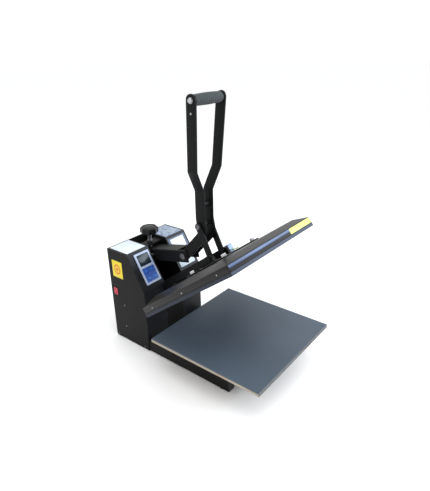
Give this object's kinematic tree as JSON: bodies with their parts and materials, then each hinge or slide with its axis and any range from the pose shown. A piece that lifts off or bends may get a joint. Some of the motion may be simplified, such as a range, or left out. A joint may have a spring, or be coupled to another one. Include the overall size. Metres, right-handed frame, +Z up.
{
  "type": "clamshell heat press",
  "caption": "Open clamshell heat press: hinged heated platen over a padded square platen, worked by a tall toggle lever on a twin-tower body.",
  "frame": {"origin": "on the table under the middle of the machine's footprint, left to right and front to back", "axes": "+Z up, +Y towards the rear of the machine, +X to the right of someone standing in front of it"},
  "size_m": [0.396, 0.622, 0.8],
  "materials": {
    "casing_paint": "satin black stove enamel",
    "arm_paint": "satin black paint, bars and links",
    "cover_glaze": "semi-gloss dark paint on the heater's cover",
    "heater_aluminium": "ground aluminium with a dark coated face",
    "bare_steel": "turned and plated steel",
    "spring_steel": "oiled spring wire",
    "pad_silicone": "matt silicone sponge",
    "platen_board": "pale composite board, sawn edges",
    "foot_rubber": "matt",
    "grip_foam": "dark closed-cell foam",
    "black_moulding": "fine spark texture",
    "box_zinc": "bright plated sheet",
    "panel_bezel": "pale silver-blue film over moulding",
    "display_glass": "dark window",
    "keypad_film": "blue keypad",
    "key_caps": "blue caps",
    "rocker_red": "red moulding",
    "insulation_board": "mineral fibre board",
    "circuit_board": "green laminate"
  },
  "bodies": {
    "frame": {"arm_shaft": "bare_steel", "base_plate": "casing_paint", "channel_floor": "casing_paint", "control_bezel": "panel_bezel", "controller_board": "circuit_board", "cross_member_front": "casing_paint", "cross_member_rear": "casing_paint", "display_lens": "display_glass", "foot_front_left": "foot_rubber", "foot_front_right": "foot_rubber", "foot_rear_left": "foot_rubber", "foot_rear_right": "foot_rubber", "front_panel": "casing_paint", "heater_relay": "black_moulding", "inner_wall_left": "casing_paint", "inner_wall_right": "casing_paint", "keypad": "keypad_film", "leg_cap_left": "black_moulding", "leg_cap_right": "black_moulding", "leg_left": "casing_paint", "leg_right": "casing_paint", "lower_platen": "platen_board", "platen_pedestal": "casing_paint", "power_inlet": "black_moulding", "rear_cover": "casing_paint", "return_spring": "spring_steel", "screw_bridge": "casing_paint", "side_plate_left": "casing_paint", "side_plate_right": "casing_paint", "silicone_pad": "pad_silicone", "switch_housing": "black_moulding", "tower_cover_left": "casing_paint", "tower_cover_right": "casing_paint", "yoke_shaft": "bare_steel"},
    "arm": {"heating_plate": "heater_aluminium", "insulation": "insulation_board", "platen_cover": "cover_glaze", "mount_plate": "arm_paint", "arm_bar_left": "arm_paint", "arm_bar_right": "arm_paint", "arm_hub": "bare_steel", "terminal_box": "box_zinc"},
    "yoke": {"yoke": "arm_paint", "lever_shaft": "bare_steel"},
    "knob": {"pressure_knob": "black_moulding", "pressure_screw": "bare_steel"},
    "lever": {"lever_bar_left": "arm_paint", "lever_bar_right": "arm_paint", "handle_grip": "grip_foam", "grip_bolt": "bare_steel", "lever_spacer": "bare_steel", "link_shaft": "bare_steel"},
    "links": {"link_left": "arm_paint", "link_right": "arm_paint"},
    "power_switch": {"switch_rocker": "rocker_red"},
    "body_key_lower_left": {"key_lower_left": "key_caps"},
    "body_key_lower_right": {"key_lower_right": "key_caps"},
    "body_key_upper_left": {"key_upper_left": "key_caps"},
    "body_key_upper_right": {"key_upper_right": "key_caps"}
  },
  "joints": [
    {"name": "arm_hinge", "type": "hinge", "parent": "frame", "child": "arm", "pos_m": [0, 0.1805, 0.1602], "axis": [1, 0, 0], "range_deg": [0, 37.07], "stiffness_Nm_per_rad": 20, "springref_deg": -91.67},
    {"name": "yoke_tilt", "type": "hinge", "parent": "frame", "child": "yoke", "pos_m": [0, 0.214, 0.2905], "axis": [1, 0, 0], "range_deg": [-2, 0.4]},
    {"name": "knob_turn", "type": "hinge", "parent": "frame", "child": "knob", "pos_m": [0, 0.249, 0.331], "axis": [0, 0, 1], "range_deg": [-225, 45]},
    {"name": "lever_hinge", "type": "hinge", "parent": "yoke", "child": "lever", "pos_m": [0, 0.077, 0.3225], "axis": [1, 0, 0], "range_deg": [0, 83.5]},
    {"name": "link_hinge", "type": "hinge", "parent": "lever", "child": "links", "pos_m": [0, 0.01157, 0.43541], "axis": [1, 0, 0], "range_deg": [-86.1, 0]},
    {"name": "switch_rock", "type": "hinge", "parent": "frame", "child": "power_switch", "pos_m": [-0.1237, 0.286, 0.18], "axis": [0, 1, 0], "range_deg": [-18, 0]},
    {"name": "press_key_lower_left", "type": "slide", "parent": "frame", "child": "body_key_lower_left", "axis": [0, 0.8551, -0.5185], "range_m": [0, 0.0008], "stiffness_N_per_m": 300, "springref_m": -0.001},
    {"name": "press_key_lower_right", "type": "slide", "parent": "frame", "child": "body_key_lower_right", "axis": [0, 0.8551, -0.5185], "range_m": [0, 0.0008], "stiffness_N_per_m": 300, "springref_m": -0.001},
    {"name": "press_key_upper_left", "type": "slide", "parent": "frame", "child": "body_key_upper_left", "axis": [0, 0.8551, -0.5185], "range_m": [0, 0.0008], "stiffness_N_per_m": 300, "springref_m": -0.001},
    {"name": "press_key_upper_right", "type": "slide", "parent": "frame", "child": "body_key_upper_right", "axis": [0, 0.8551, -0.5185], "range_m": [0, 0.0008], "stiffness_N_per_m": 300, "springref_m": -0.001}
  ],
  "couplings": [
    {"joint": "lever_hinge", "follows": "arm_hinge", "ratio": 2.25},
    {"joint": "link_hinge", "follows": "arm_hinge", "ratio": -2.32},
    {"joint": "knob_turn", "follows": "yoke_tilt", "ratio": 112.5}
  ]
}
